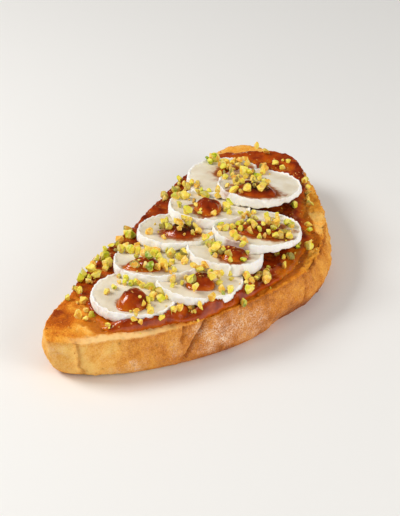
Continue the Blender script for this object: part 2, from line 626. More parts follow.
grains = reckon(tree, "MULTIPLY_ADD", reckon(tree, "MULTIPLY", speckle, clumped), 0.78, 0.10)
dusted = reckon(tree, "MULTIPLY", read_mask(tree, "flour"), grains)
colour = blend_colours(tree, dusted, colour, (0.91, 0.71, 0.53))
shaded = reckon(tree, "MULTIPLY", read_mask(tree, "crack"), 0.8)
colour = blend_colours(tree, shaded, colour, (0.19, 0.042, 0.007))
colour, roughness = stained_with_jam(tree, colour, 0.75, read_mask(tree, "soaked"), (0.74, 0.23, 0.014))
finish_looks(tree, shader, (bumps, 0.8, 0.5 * MM), {
    "Base Color": colour,
    "Roughness": roughness,
    "Specular IOR Level": 0.15,
    "Subsurface Weight": 0.08,
    "Subsurface Scale": 1.5 * MM,
    "Subsurface Radius": (1.0, 0.5, 0.2),
})  # fmt: skip
add_piece("toasted_slice", bread_mesh, bread_looks, ["bread_slice"])

# ---- The cheese slices ----------------------------------------------------------------------------------
# Nine rounds cut from a log of goat cheese: a matt white bloomy rind that stands up as a thin wavy lip
# round a sunken satin face. Each was laid on the one before, and what lies lower gives way to it.
Slice = namedtuple("Slice", "x y above half_length half_width turn lean roll thickness")
CHEESE_SLICES = [
    Slice(-75.0, 17.5, 7.7, 24.5, 22.5, -83, 1, 0, 5.5),
    Slice(-47.0, -9.0, 9.7, 24.5, 23.5, -30, 4, 0, 5.5),
    Slice(-40.0, 20.0, 10.2, 26.0, 23.5, -62, 6, 4, 5.5),
    Slice(-16.0, -10.0, 11.6, 22.8, 22.2, 0, 9, -2, 6.3),
    Slice(-6.0, 24.0, 11.2, 25.6, 23.0, -20, 8, 3, 5.5),
    Slice(12.5, -17.0, 12.0, 27.0, 25.0, -15, 9, -1, 5.5),
    Slice(23.0, 19.0, 12.2, 24.3, 24.0, 0, 10, 0, 5.8),
    Slice(62.5, 28.0, 11.0, 25.0, 22.0, 0, 3, 0, 6.3),
    Slice(59.5, 2.8, 12.2, 26.3, 25.2, 0, 9, 0, 5.5),
]
GAP = 0.25 * MM
SLICE_STEPS = 300  # round the rind

# The rind from the lower edge up and in to the face. Wall: mm outside the rim, and height as a share of the
# thickness. Lip: mm outside the rim and mm above the face's plane. Then shares of the rim across the face.
WALL_PROFILE = [(-1.3, -1.0), (-0.35, -0.96), (0.10, -0.80), (0.28, -0.55), (0.24, -0.30), (0.10, -0.12)]
LIP_PROFILE = [(-0.04, 0.12), (-0.28, 0.48), (-0.62, 0.54), (-0.98, 0.30), (-1.40, 0.00), (-2.3, -0.22)]
UNDERSIDE_SHARES = [0.30, 0.62, 0.85]
FACE_SHARES = [0.86, 0.82, 0.77, 0.71, 0.64, 0.57, 0.49, 0.41, 0.33, 0.25, 0.17, 0.10, 0.04]
FACE_EDGE = 0.89
FACE_LEVEL = -0.36 * MM
RIM_WAVE = 0.022

# Flaws of single rinds: slice, direction seen from above (0 is the far end, 90 the loaf's base side), half
# width (degrees), and by how much the lip is raised, the wall drawn in, the whole edge let down and the
# slice thinner (mm).
Flaw = namedtuple("Flaw", "slice towards half_width lip inwards sag thin", defaults=[0.0])
RIND_FLAWS = [
    Flaw(4, 214, 2.2, -1.6, 1.5, 0.0),
    Flaw(4, 297, 14, 0.9, 1.0, 0.0),
    Flaw(4, 318, 4, -1.0, 0.6, 0.0),
    Flaw(5, 183, 3.0, -1.2, 1.1, 0.0),
    Flaw(1, 236, 4.0, -0.8, 0.7, 0.0),
    Flaw(2, 200, 3.0, -0.6, 0.5, 0.0),
    Flaw(3, 120, 10, 0.5, 0.3, 0.0),
    Flaw(8, 150, 42, -0.9, 0.0, 1.6),
    Flaw(8, 128, 5, -0.4, 2.0, 0.4),
    Flaw(8, 172, 6, -0.4, 1.6, 0.3),
    Flaw(9, 208, 3.0, -0.4, 0.5, 0.0),
    Flaw(9, 272, 42, 0.0, 0.3, 0.0, 2.6),
    Flaw(5, 222, 16, 0.0, 0.2, 0.0, 2.4),
    Flaw(3, 331, 16, -0.6, 6.5, 1.0),
    Flaw(6, 250, 50, 0.0, 0.0, 0.0, 1.6),
    Flaw(1, 175, 40, 0.3, 0.0, 0.0),
    Flaw(2, 275, 60, -0.9, 0.0, 0.0),
]

# Slices that settled into the jam at one side: slice, directions between which its edge did, and how far
# the edge slid down and away from the viewer, along the line of sight (mm).
Settled = namedtuple("Settled", "slice start end slide")
SETTLED_EDGES = [Settled(1, 190, 335, 1.5), Settled(2, 214, 345, 3.4)]


def unevenness(angle, seed, waves=((2, 0.45), (3, 0.30), (5, 0.20), (7, 0.12))):
    """A slow wave round a closed loop, between about -1 and 1, different for each seed."""
    return sum(size * np.sin(turns * angle + 1.7 * seed * turns + seed) for turns, size in waves)


def circle(steps):
    """Angles round a circle, and the points at them 1 away from its middle."""
    angle = 2 * math.pi * np.arange(steps) / steps
    return angle, np.column_stack([np.cos(angle), np.sin(angle), np.zeros(steps)])


def facing(points, laid, start, end, soft):
    """1 where a point lies between two directions (degrees) from a slice's middle, with soft ends."""
    towards = np.degrees(np.arctan2(points[:, 1] - laid.middle[1], points[:, 0] - laid.middle[0])) % 360
    return stretch(towards, start - soft, start + soft, end - soft, end + soft)


class Laid:
    """How one slice lies: its tilted frame, and its outline seen square to its face."""

    def __init__(self, number, row):
        self.number, self.row = number, row
        self.tilt = np.array(Euler([math.radians(a) for a in (-row.roll, row.lean, 0)], "ZYX").to_matrix())
        self.turned = self.tilt @ np.array(Euler((0, 0, math.radians(row.turn))).to_matrix())
        self.middle = np.array([row.x, row.y, row.above]) * MM + (0, 0, BREAD_TOP)
        self.half_sizes = np.array([row.half_length, row.half_width])
        self.thickness = row.thickness * MM

    def slid(self, points):
        """How far points at a settled edge slid."""
        moved = np.zeros_like(points)
        for edge in SETTLED_EDGES:
            if edge.slice == self.number:
                out = self.share_out((points - self.middle) @ self.turned)
                share = facing(points, self, edge.start, edge.end, 20) * ease(out, 0.35, 1.0)
                moved -= (edge.slide * MM * share)[:, None] * np.array(towards_viewer)
        return moved

    def place(self, local):
        """Points of the slice's own frame, as they lie on the toast."""
        points = local @ self.turned.T + self.middle
        return points + self.slid(points)

    def local(self, points):
        """Points of the toast in the slice's own frame, with its settled edge back up."""
        return (points - self.slid(points) - self.middle) @ self.turned

    def wave(self, angle):
        """The rim's distance at an angle of the slice's own, as a share of a plain oval's."""
        return 1 + RIM_WAVE * unevenness(angle, self.number)

    def share_out(self, local):
        """How far out a point lies: 0 in the middle, 1 on the rim."""
        x, y = (local[:, :2] / self.half_sizes).T
        return np.hypot(x, y) / MM / self.wave(np.arctan2(y, x))

    def beside(self, points):
        """How far beside the slice points lie, and 0 within its rim."""
        return np.maximum(self.share_out(self.local(points)) - 1, 0) * self.row.half_length * MM

    def lowered(self, points, underside, near=True):
        """Points in its own frame's way above its underside, pushed straight down to it."""
        too_high = np.where(near, np.maximum(self.local(points)[:, 2] - underside, 0), 0)
        pressed = points.copy()
        pressed[:, 2] -= too_high / self.turned[2, 2]
        return pressed

    def press(self, points, spare=0.0):
        """Pushes down whatever of these points would be inside this slice."""
        out = self.share_out(self.local(points))
        underside = -self.thickness - GAP - spare + 1.0 * MM * ease(out, 0.93, 1.02)
        return self.lowered(points, underside, out < 1.02)

    def lean_on(self, points, slope=1.3):
        """Lowers soft points beside this slice too, so that they rise evenly from its underside."""
        return self.lowered(points, slope * self.beside(points) - self.thickness - GAP)


laid_slices = [Laid(number, row) for number, row in enumerate(CHEESE_SLICES, 1)]


def loft_faces(rings, steps):
    """The quads between rings of points, each ring closed, and the fans that close both ends."""
    start = np.arange(steps)
    after = (start + 1) % steps
    corners = np.column_stack([start, after, steps + after, steps + start])
    quads = [ring * steps + corners for ring in range(rings - 1)]
    low, high, last = rings * steps, rings * steps + 1, (rings - 1) * steps
    ends = [(low, int(b), int(a)) for a, b in zip(start, after)]
    ends += [(high, last + int(a), last + int(b)) for a, b in zip(start, after)]
    return np.concatenate(quads).tolist() + ends


def finer(profile, steps):
    """An open profile as a curve, with this many points from each of its points to the next."""
    rows = np.array([profile[0], *profile, profile[-1]], float)
    spans = zip(rows, rows[1:], rows[2:], rows[3:])
    curve = [curve_between(*span, step / steps) for span in spans for step in range(steps)]
    return np.array([*curve, rows[-1]])


def flaws_round(laid, angle):
    """How far a slice's lip is raised, its wall drawn in and its edge let down and thinned (mm)."""
    changes = np.zeros((4, len(angle)))
    for flaw in RIND_FLAWS:
        if flaw.slice == laid.number:
            off = (np.degrees(angle) + laid.row.turn - flaw.towards + 180) % 360 - 180
            share = np.exp(-((off / flaw.half_width) ** 2))
            changes += np.outer((flaw.lip, flaw.inwards, flaw.sag, flaw.thin), share)
    return changes


def cheese_points(laid):
    """One slice's rings of points in its own frame, each point's share of rind, and the number of rings.

    Each kind of unevenness has seeds of its own, counted on from the slice's number.
    """
    seed, tall = laid.number, laid.row.thickness
    angle, outwards = circle(SLICE_STEPS)
    around = outwards * laid.row.half_length * MM
    rim = outwards[:, :2] * laid.half_sizes * MM * laid.wave(angle)[:, None]
    lip_rise = rough(around, [(0.40, 5, seed), (0.32, 1.7, seed + 20, 2)])
    lip_shift = rough(around, [(0.36, 2.6, seed + 40, 2)])
    ragged = rough(around, [(0.7, 8, seed + 30), (0.3, 2.5, seed + 31, 1)])
    rise = 0.35 * unevenness(angle, seed + 3)
    lifted, drawn, sag, thin = flaws_round(laid, angle)
    rings, rind = [], []
    for share in UNDERSIDE_SHARES:
        rings.append(np.column_stack([rim * share, (thin * share**2 - tall) * MM]))
        rind.append(np.zeros(SLICE_STEPS))
    for out, up in finer([(out, part * tall) for out, part in WALL_PROFILE] + LIP_PROFILE, 3):
        on_lip = float(ease(up, -1.4, 0.1))
        crest = math.exp(-(((out + 0.6) / 0.75) ** 2)) * on_lip
        folds = around + (0, 0, up * 0.22 * MM)
        fluted = ease(ripple(folds, 14 * MM, seed + 50, 1), -0.5, 0.7)
        wrinkled = 0.26 * fluted * ripple(folds, 2.0 * MM, seed + 60, 2)
        creased = ripple(folds * (1, 1, 4), 3.4 * MM, seed + 70, 2)
        wrinkled += 0.16 * creased + 0.40 * ripple(folds, 7 * MM, 9, 1)
        shift = out + lip_shift * on_lip + wrinkled * (1 - 0.4 * on_lip) - drawn
        level = up + rise * ease(up, -2.5, -0.5) + crest * (lip_rise + 0.8 * lifted)
        level += ragged * ease(up, -0.55 * tall, -0.95 * tall)
        level += thin * min(1, max(0, -up / tall)) + 0.25 * lifted * on_lip
        rings.append(np.column_stack([rim + outwards[:, :2] * shift[:, None] * MM, level * MM]))
        rind.append(np.full(SLICE_STEPS, 1.0 - ease(-out, 0.80, 1.75) * on_lip))
    edge = rings[-1]
    for share in FACE_SHARES:
        inner = edge * (share / FACE_EDGE)
        inner[:, 2] = FACE_LEVEL + (edge[:, 2] - FACE_LEVEL) * (share / FACE_EDGE) ** 6
        rings.append(inner)
        rind.append(np.zeros(SLICE_STEPS))
    points = np.concatenate(rings)
    spread = np.hypot(points[:, 0], points[:, 1]) / (laid.row.half_length * MM)
    points[:, 2] += MM * rough(points * (1, 1, 0), [(0.22, 13, seed + 80, 2)])
    points[:, 2] += MM * rough(points * (1, 1, 0), [(0.05, 2.5, seed + 90, 2)])
    points[:, 2] -= np.tile(sag, len(rings)) * MM * ease(spread, 0.45, 1.0)
    middles = [(0, 0, -laid.thickness), (0, 0, FACE_LEVEL)]
    return np.vstack([points, middles]), np.append(np.concatenate(rind), [0, 0]), len(rings)


cheese_looks, tree, shader = new_material("goat_cheese")
mottling, bumps = grained(tree, 0.5 * MM, 0.35)
cloud = reckon(tree, "ADD", spots(tree, 11 * MM), mottling)
face_steps = [(0.30, (0.73, 0.63, 0.46)), (0.50, (0.81, 0.72, 0.555)), (0.72, (0.88, 0.82, 0.69))]
rind_steps = [(0.25, (0.88, 0.83, 0.74)), (0.5, (0.95, 0.93, 0.89)), (0.8, (0.97, 0.96, 0.93))]
on_rind = read_mask(tree, "rind")
face_colour, rind_colour = colour_steps(tree, cloud, face_steps), colour_steps(tree, cloud, rind_steps)
colour = blend_colours(tree, on_rind, face_colour, rind_colour)
matt = reckon(tree, "MULTIPLY_ADD", on_rind, 0.38, 0.40)
stain = read_mask(tree, "stain")
colour, roughness = stained_with_jam(tree, colour, matt, stain, (0.72, 0.47, 0.32), (0.42, 0.15, 0.05))
bumps = reckon(tree, "MULTIPLY", bumps, reckon(tree, "MULTIPLY_ADD", on_rind, 0.85, 0.15))
finish_looks(tree, shader, (bumps, 0.6, 0.3 * MM), {
    "Base Color": colour,
    "Roughness": roughness,
    "Specular IOR Level": 0.4,
    "Subsurface Weight": 0.25,
    "Subsurface Scale": 2.0 * MM,
    "Subsurface Radius": (1.0, 0.85, 0.6),
})  # fmt: skip

# The spoonfuls: centre in plan, half sizes, turn, height (mm, degrees); how far the stain round each reaches
# (times its half sizes) and how deep it is; how far its thin edge runs (times the heap), and how much
# darker its fruit is.
Dollop = namedtuple("Dollop", "x y half_length half_width turn height stain_reach stain_depth run_out darker")
JAM_DOLLOPS = [
    Dollop(-82.5, 14.5, 9.8, 7.8, -20, 6.6, 1.3, 0.55, 1.08, 0.0),
    Dollop(-53.5, -12.5, 8.0, 6.4, -40, 5.6, 1.4, 0.60, 1.05, 0.0),
    Dollop(-52.5, 23.0, 10.0, 6.6, -64, 4.8, 1.7, 0.70, 1.08, -0.06),
    Dollop(-19.6, -16.8, 9.5, 8.2, 10, 3.8, 1.7, 0.90, 1.06, 0.0),
    Dollop(-11.6, 20.8, 9.8, 7.6, -64, 3.5, 2.0, 1.00, 1.06, 0.24),
    Dollop(11.0, -20.0, 12.0, 9.6, -64, 3.4, 2.1, 1.10, 1.12, 0.08),
    Dollop(18.3, 17.6, 9.4, 8.0, 0, 5.2, 1.7, 1.00, 1.05, 0.0),
    Dollop(68.2, 22.8, 11.0, 8.4, -64, 4.8, 1.9, 1.00, 1.08, 0.0),
    Dollop(49.0, 1.5, 12.0, 9.8, -64, 4.2, 1.9, 0.95, 1.12, 0.22),
]
STAIN_ON_OTHERS = 0.45  # of a spoonful's stain, on the slices that aren't its own


def dollop_lobes(angle, number):
    """How far the lobed edge of a spoonful lies at an angle of its own, as a share of a plain oval's."""
    return 1 + 0.12 * unevenness(angle, number + 6, ((2, 0.45), (3, 0.40), (5, 0.12)))


def out_of_dollop(points, dollop, number):
    """How far out of a spoonful a point lies in plan: 0 in its middle, 1 on its lobed edge."""
    turn = math.radians(dollop.turn)
    x, y = points[:, 0] - dollop.x * MM, points[:, 1] - dollop.y * MM
    along = (x * math.cos(turn) + y * math.sin(turn)) / (dollop.half_length * MM)
    across = (y * math.cos(turn) - x * math.sin(turn)) / (dollop.half_width * MM)
    return np.hypot(along, across) / dollop_lobes(np.arctan2(across, along), number)


cheese_rounds = []
for laid in laid_slices:
    points, rind, rings = cheese_points(laid)
    points = laid.place(points)
    under = np.arange(len(points)) < (len(UNDERSIDE_SHARES) + 1) * SLICE_STEPS
    under[-2] = True
    for later in laid_slices[laid.number :]:
        points = np.where(under[:, None], later.press(points, 0.3 * MM), later.press(points))
    mesh = bpy.data.meshes.new(f"cheese_round_{laid.number}")
    mesh.from_pydata(points.tolist(), [], loft_faces(rings, SLICE_STEPS))
    low_edge = ease(points[:, 2], BREAD_TOP + 4.2 * MM, BREAD_TOP + 2.0 * MM)
    stain = 0.45 * low_edge * ease(ripple(points, 4 * MM, 50, 2), -0.4, 0.5)
    for number, dollop in enumerate(JAM_DOLLOPS, 1):
        out = out_of_dollop(points, dollop, number) + 0.24 * ripple(points, 6 * MM, 30 + number)
        share = 1.0 if number == laid.number else STAIN_ON_OTHERS
        stain = np.maximum(stain, share * dollop.stain_depth * ease(out, dollop.stain_reach, 0.8))
    add_mask(mesh, "rind", rind)
    add_mask(mesh, "stain", stain)
    add_piece(mesh.name, mesh, cheese_looks, [f"cheese_slice_{laid.number}"])
    cheese_rounds.append(mesh)

# ---- The jam under the cheese ---------------------------------------------------------------------------
# Fig jam spread with a knife: a wet layer with soft lumps of fruit, thick and beaded at the base side and
# along the near front, and a thin amber film at the domed side's far half, where the bread took it up.
JAM_GRAIN = 0.95 * MM  # size of its faces
JAM_TOP = 2.3 * MM  # its usual thickness
JAM_FLOOR = BREAD_TOP - 0.35 * MM  # it fills the crumb's pores down to here
JAM_HEM = 0.3 * MM  # how far its hem goes on below that
JAM_BEAD = 5.5 * MM  # radius of its rounded edge
JAM_LUMPS = 520
JAM_SWELLS = [(0.40, 12, 3, 2), (0.16, 3.2, 4, 2)]
JAM_WAVES = [(0.7, 14, 1, 2), (0.6, 4, 2, 2)]

# Where the jam stands up against a rind: slice, directions from its middle (degrees, as for the flaws)
# between which it does, and how far below the rim it ends (mm).
Bank = namedtuple("Bank", "slice start end below")
JAM_BANKS = [Bank(1, 180, 335, 0.1), Bank(2, 200, 345, 0.3), Bank(4, 262, 330, 6.5)]

# How dark its thin film is, and how much more where it is deep, by the way round (hundredths).
FILM_TONES = [(0, 2), (0.05, -4), (0.12, 14), (0.45, 14), (0.60, 26), (0.68, 30), (0.92, 28), (0.97, 8)]
FILM_TONES += [(1, 2)]
DEEP_TONES = [(0.4, 44), (0.45, 28), (0.70, 28), (0.76, 44)]


def jam_sheet():
    """The spread's faces in plan, with its points and how far each lies inside its wavy outline."""
    loop, _ = smooth_loop(JAM_OUTLINE, 620)
    flat_loop, inwards = in_plan(loop), inwards_of(loop)
    wave = 0.2 + rough(flat_loop, JAM_WAVES)
    wave *= 1 - 0.8 * facing(flat_loop, laid_slices[1], 215, 320, 10)
    outline = loop + inwards * wave[:, None] * MM
    rings = [outline + inwards * step * MM for step in (0.0, 0.22, 0.55, 1.0, 1.6)]
    low, high = outline.min(0), outline.max(0)
    columns = np.arange(low[0], high[0], JAM_GRAIN)
    rows = np.arange(low[1], high[1], JAM_GRAIN * 0.87)
    grid = np.array([(x + (k % 2) * JAM_GRAIN / 2, y) for k, y in enumerate(rows) for x in columns])
    inside, _ = measured_from(outline, grid)
    flat_points = [Vector(p) for p in np.concatenate([*rings, grid[inside > 2.2 * MM]]).tolist()]
    edges = [(i, (i + 1) % len(outline)) for i in range(len(outline))]
    flat_points, _, faces = geometry.delaunay_2d_cdt(flat_points, edges, [], 1, 1e-7)[:3]
    points = in_plan(np.array([p[:] for p in flat_points]))
    inside, _ = measured_from(outline, points)
    return points, faces, np.maximum(inside, 0)


def banked_up(points, inside):
    """How tall the jam stands where it leans against rinds."""
    tall = np.zeros(len(points))
    for bank in JAM_BANKS:
        laid = laid_slices[bank.slice - 1]
        standing = points + (0, 0, laid.middle[2])
        from_rind = laid.beside(standing)
        rim_height = standing[:, 2] - laid.local(standing)[:, 2] / laid.turned[2, 2]
        run = facing(points, laid, bank.start, bank.end, 24) * ease(from_rind, 11 * MM, 5 * MM)
        share = inside / (inside + from_rind + 0.01 * MM)
        rise = rim_height - bank.below * MM - BREAD_TOP
        tall = np.maximum(tall, run * rise * np.sqrt(1 - (1 - share) ** 2))
    return tall


# Its thickness: the body with its lumps, rounded off at the edge, banked up against the front slices, and
# scraped out to a thin wedge in front of the near slices and at the domed side's far half.
points, faces, inside = jam_sheet()
_, way = measured_from(loaf_loop, points)
filmed = stretch(way, 0.690, 0.715, 0.785, 0.800) * ease(inside, 11 * MM, 5 * MM)
body = JAM_TOP * (1 + rough(points, JAM_SWELLS))
body *= (1 - 0.6 * facing(points, laid_slices[0], 150, 215, 18)) * (1 - 0.72 * filmed)
shake = random.Random(11)
sites, radii, heights = [], [], []
for _ in range(JAM_LUMPS):
    sites.append(points[shake.randrange(len(points))])
    radii.append(shake.uniform(1.4, 3.2) * MM)
    heights.append(shake.uniform(0.2, 0.95) * MM)
lump = round_marks(points, sites, radii, heights, 2) * (1 - 0.7 * filmed)
banked = banked_up(points, inside)
thick = np.minimum(body + lump, np.sqrt(2 * JAM_BEAD * inside) + 0.25 * lump)
thick = np.maximum(thick, banked * (1 + 0.06 * ripple(points, 6 * MM, 14, 2)) + 0.4 * lump * (banked > 0))
scraped = stretch(way, 0.42, 0.45, 0.545, 0.575)
thick += scraped * (np.maximum(np.minimum(thick, 0.24 * inside), banked) - thick)
scraped = stretch(way, 0.700, 0.725, 0.880, 0.900)
thick += scraped * (np.minimum(thick, 0.15 * MM + 0.42 * inside) - thick)
points[:, 2] = JAM_FLOOR + np.maximum(thick, 0) + 0.2 * MM * ease(inside, 0, 0.5 * MM)
for laid in laid_slices:
    points = laid.press(points)
points[:, 2] = np.maximum(points[:, 2], JAM_FLOOR)
mesh = bpy.data.meshes.new("jam_layer")
mesh.from_pydata(points.tolist(), [], faces)

# The sheet is closed below by a hem and one flat face.
bm = bmesh.new()
bm.from_mesh(mesh)
bmesh.ops.recalc_face_normals(bm, faces=bm.faces)
rim = [edge for edge in bm.edges if edge.is_boundary]
hem = bmesh.ops.extrude_edge_only(bm, edges=rim)["geom"]
for vert in (part for part in hem if isinstance(part, bmesh.types.BMVert)):
    vert.co.z = JAM_FLOOR - JAM_HEM
bmesh.ops.holes_fill(bm, edges=[edge for edge in bm.edges if edge.is_boundary], sides=0)
bmesh.ops.recalc_face_normals(bm, faces=bm.faces)
bm.to_mesh(mesh)
bm.free()

points = points_of(mesh)
deep = points[:, 2] - JAM_FLOOR
_, way = measured_from(loaf_loop, points)
tone = by_way(way, FILM_TONES) / 100 + by_way(way, DEEP_TONES) / 100 * ease(deep, 0.2 * MM, 3.4 * MM)
tone = tone + 0.17 * ripple(points, 7 * MM, 6, 2)
scraped = stretch(way, 0.690, 0.715, 0.880, 0.900) + stretch(way, 0.42, 0.45, 0.56, 0.60)
add_mask(mesh, "depth", tone * (1 - 0.55 * scraped * ease(deep, 2.6 * MM, 0.8 * MM)))

jam_looks, tree, shader = new_material("jam")
swirl = reckon(tree, "MULTIPLY_ADD", spots(tree, 4.5 * MM, 3.0), 0.62, -0.29)
clouded = reckon(tree, "ADD", read_mask(tree, "depth"), swirl)
jam_steps = [(0, (0.66, 0.18, 0.004)), (0.35, (0.47, 0.070, 0.002)), (0.65, (0.27, 0.025, 0.001))]
jam_steps += [(1, (0.055, 0.008, 0.001))]
finish_looks(tree, shader, (spots(tree, 1.3 * MM), 0.5, 0.4 * MM), {
    "Base Color": colour_steps(tree, clouded, jam_steps),
    "Roughness": reckon(tree, "MULTIPLY_ADD", spots(tree, 1.6 * MM), 0.15, 0.08),
    "Subsurface Weight": 0.15,
    "Subsurface Scale": 2.0 * MM,
    "Subsurface Radius": (1.0, 0.25, 0.08),
    "Coat Weight": 0.30,
    "Coat Roughness": 0.04,
})  # fmt: skip
jam_layer = add_piece("jam_layer", mesh, jam_looks, ["jam_spread"])

# ---- The spoonfuls of jam -------------------------------------------------------------------------------
# A heaped spoonful on each slice: a glossy lobed mound of soft fruit with a thin wet edge. It sinks into the
# face by half a millimetre, and a later slice beside it presses it down.
DOLLOP_STEPS, DOLLOP_RINGS, SKIRT_RINGS = 128, 22, 9
FRUIT_LUMPS = 13
HEM = -0.9  # mm, its underside
FILM = 0.75  # mm, its thin edge
HEAPED_AWAY = 0.20  # by what share they are higher at the far side
FAR_SIDE, THIN_SIDE = (0.94, 0.34), (-0.83, 0.55, 0)


def dollop_points(laid, dollop, shake):
    """A spoonful's rings of points round its own centre, in mm of height, from the hem up to the middle."""
    angle, outwards = circle(DOLLOP_STEPS)
    half_sizes = np.array([dollop.half_length, dollop.half_width]) * MM
    turn = math.radians(dollop.turn)
    turned = np.array([(math.cos(turn), math.sin(turn)), (-math.sin(turn), math.cos(turn))])
    oval = outwards[:, :2] * half_sizes * dollop_lobes(angle, laid.number)[:, None]
    wavy = 1 + 0.9 * ripple(outwards * half_sizes[0], 8 * MM, laid.number + 100, 1)
    skirt = np.maximum(1 + (dollop.run_out - 1) * wavy, 1.02)
    skirt_shares = [1, *np.linspace(1, 0, SKIRT_RINGS)]
    heap_shares = 1 - np.sin(np.linspace(0.03, 0.49 * math.pi, DOLLOP_RINGS))
    parts = [1 + (skirt - 1) * share for share in skirt_shares]
    parts += [np.full(DOLLOP_STEPS, share) for share in heap_shares]
    rings = []
    for part, share in zip(parts, [*skirt_shares, *np.zeros(DOLLOP_RINGS)]):
        plan = oval * part[:, None] @ turned
        dome = 0.9 * dollop.height * (1 - np.minimum(part, 1) ** 2.6) ** 0.7
        dome *= 1 + HEAPED_AWAY * (plan @ FAR_SIDE) / half_sizes[0]
        rings.append(np.column_stack([plan, FILM * math.sqrt(1 - share**2) + dome]))
    rings[0][:, 2] = HEM
    points = np.concatenate(rings)
    rounded = ease(points[:, 2], 0.5, 0.6 * dollop.height)
    points[:, 2] *= 1 + 0.10 * ripple(in_plan(points), 8 * MM, laid.number, 1)
    fruit = np.zeros(len(points))
    for _ in range(FRUIT_LUMPS):
        towards, out = shake.uniform(0, 2 * math.pi), shake.uniform(0.1, 0.85)
        middle = half_sizes * (math.cos(towards), math.sin(towards)) * out
        radius, tall = shake.uniform(1.3, 2.9) * MM, shake.uniform(0.3, 1.15)
        near = np.exp(-(((points[:, :2] - middle) ** 2).sum(1) / radius**2))
        fruit = np.maximum(fruit, tall * near)
    points[:, 2] += rounded * fruit
    return points, len(rings)


spoonfuls = []
shake = random.Random(60)
for laid, dollop in zip(laid_slices, JAM_DOLLOPS):
    points, rings = dollop_points(laid, dollop, shake)
    points[:, 2] *= MM
    top = points[-DOLLOP_STEPS:].mean(0)
    points = np.vstack([points, (0, 0, HEM * MM), top])
    deep = np.append(points[:-2, 2], [0, top[2]])
    normal = laid.tilt[:, 2]
    centre = np.array([dollop.x * MM, dollop.y * MM, laid.middle[2]])
    centre[2] -= normal[:2] @ (centre - laid.middle)[:2] / normal[2]
    points = points @ laid.tilt.T + centre - normal * 0.5 * MM
    for later in laid_slices[laid.number :]:
        points = later.lean_on(points)
    mesh = bpy.data.meshes.new(f"jam_spoonful_{laid.number}")
    mesh.from_pydata(points.tolist(), [], loft_faces(rings, DOLLOP_STEPS))
    thin = ((points - centre) @ THIN_SIDE) / (dollop.half_length * MM)
    glow = ease(thin + 0.4 * ripple(points, 7 * MM, 12 + laid.number, 1), 0.0, 0.9)
    thick = ease(deep, 0.6 * MM, 3.8 * MM) * (1 - 0.75 * glow)
    tone = 0.20 + 0.50 * thick + 0.12 * ripple(points, 5 * MM, 7, 2)
    add_mask(mesh, "depth", tone + dollop.darker)
    add_piece(mesh.name, mesh, jam_looks, [f"jam_dollop_{laid.number}"])
    spoonfuls.append(mesh)

# ---- The fig seeds --------------------------------------------------------------------------------------
# The seeds of the figs in the jam: golden flattened grains about a millimetre long, with a hard smooth
# hull. They lie anyhow in the spread and the spoonfuls, three quarters sunk in the wet jam.
SEED_HALF_SIZES = (0.60, 0.45, 0.28)  # mm
SEED_SUNK = 0.12  # mm from its middle up to the jam's surface
SEEDS_IN_SPREAD, SEEDS_IN_SPOONFUL = 130, 8
TRIES_PER_PLACE = 40

all_points, all_faces, start = [], [], 0
for mesh in (bread_mesh, jam_layer.data, *cheese_rounds, *spoonfuls):
    all_points.append(points_of(mesh))
    all_faces += [[start + i for i in polygon.vertices] for polygon in mesh.polygons]
    start += len(mesh.vertices)
toast_surface = BVHTree.FromPolygons(np.concatenate(all_points).tolist(), all_faces)


def points_and_faces(bm):
    """The points and the triangles of a mesh that has been built in bmesh."""
    points = np.array([vert.co[:] for vert in bm.verts])
    faces = np.array([[vert.index for vert in face.verts] for face in bm.faces])
    bm.free()
    return points, faces


def joined(name, pieces):
    """One mesh of loose pieces, each (points, faces)."""
    points = np.concatenate([piece[0] for piece in pieces])
    starts = np.cumsum([0] + [len(piece[0]) for piece in pieces])
    faces = np.concatenate([piece[1] + start for piece, start in zip(pieces, starts)])
    mesh = bpy.data.meshes.new(name)
    mesh.from_pydata(points.tolist(), [], faces.tolist())
    return mesh


def open_places(mesh, count, shake):
    """Places on the upper side of a mesh that nothing else of the toast covers, with their normals."""
    found = []
    for _ in range(TRIES_PER_PLACE * count):
        polygon = mesh.polygons[shake.randrange(len(mesh.polygons))]
        place = polygon.center.copy()
        above = toast_surface.ray_cast(place + Vector((0, 0, 50 * MM)), Vector((0, 0, -1)))[0]
        if polygon.normal.z > 0.2 and (above - place).length < 0.2 * MM:
            found.append((place, polygon.normal.copy()))
        if len(found) == count:
            break
    return found


bm = bmesh.new()
bmesh.ops.create_icosphere(bm, subdivisions=2, radius=1.0)
round_points, seed_faces = points_and_faces(bm)
seed_points = round_points * SEED_HALF_SIZES * MM
shake = random.Random(71)
places = open_places(jam_layer.data, SEEDS_IN_SPREAD, shake)
for mesh in spoonfuls:
    places += open_places(mesh, SEEDS_IN_SPOONFUL, shake)
seeds = []
for place, normal in places:
    flat = np.array(normal.to_track_quat("Z", "X").to_matrix())
    lying = np.array(Euler((shake.gauss(0, 0.3), shake.gauss(0, 0.3), shake.uniform(0, 6.3))).to_matrix())
    turned = seed_points * shake.uniform(0.8, 1.15) @ (flat @ lying).T
    seeds.append((turned + np.array(place - normal * SEED_SUNK * MM), seed_faces))
seed_looks, tree, shader = new_material("fig_seed")
seed_steps = [(0.35, (0.48, 0.17, 0.02)), (0.65, (0.80, 0.42, 0.10))]
seed_colour = colour_steps(tree, spots(tree, 1.3 * MM), seed_steps)
connect(tree, shader, [("Base Color", seed_colour), ("Roughness", 0.22)])
add_piece("fig_seeds", joined("fig_seeds", seeds), seed_looks)

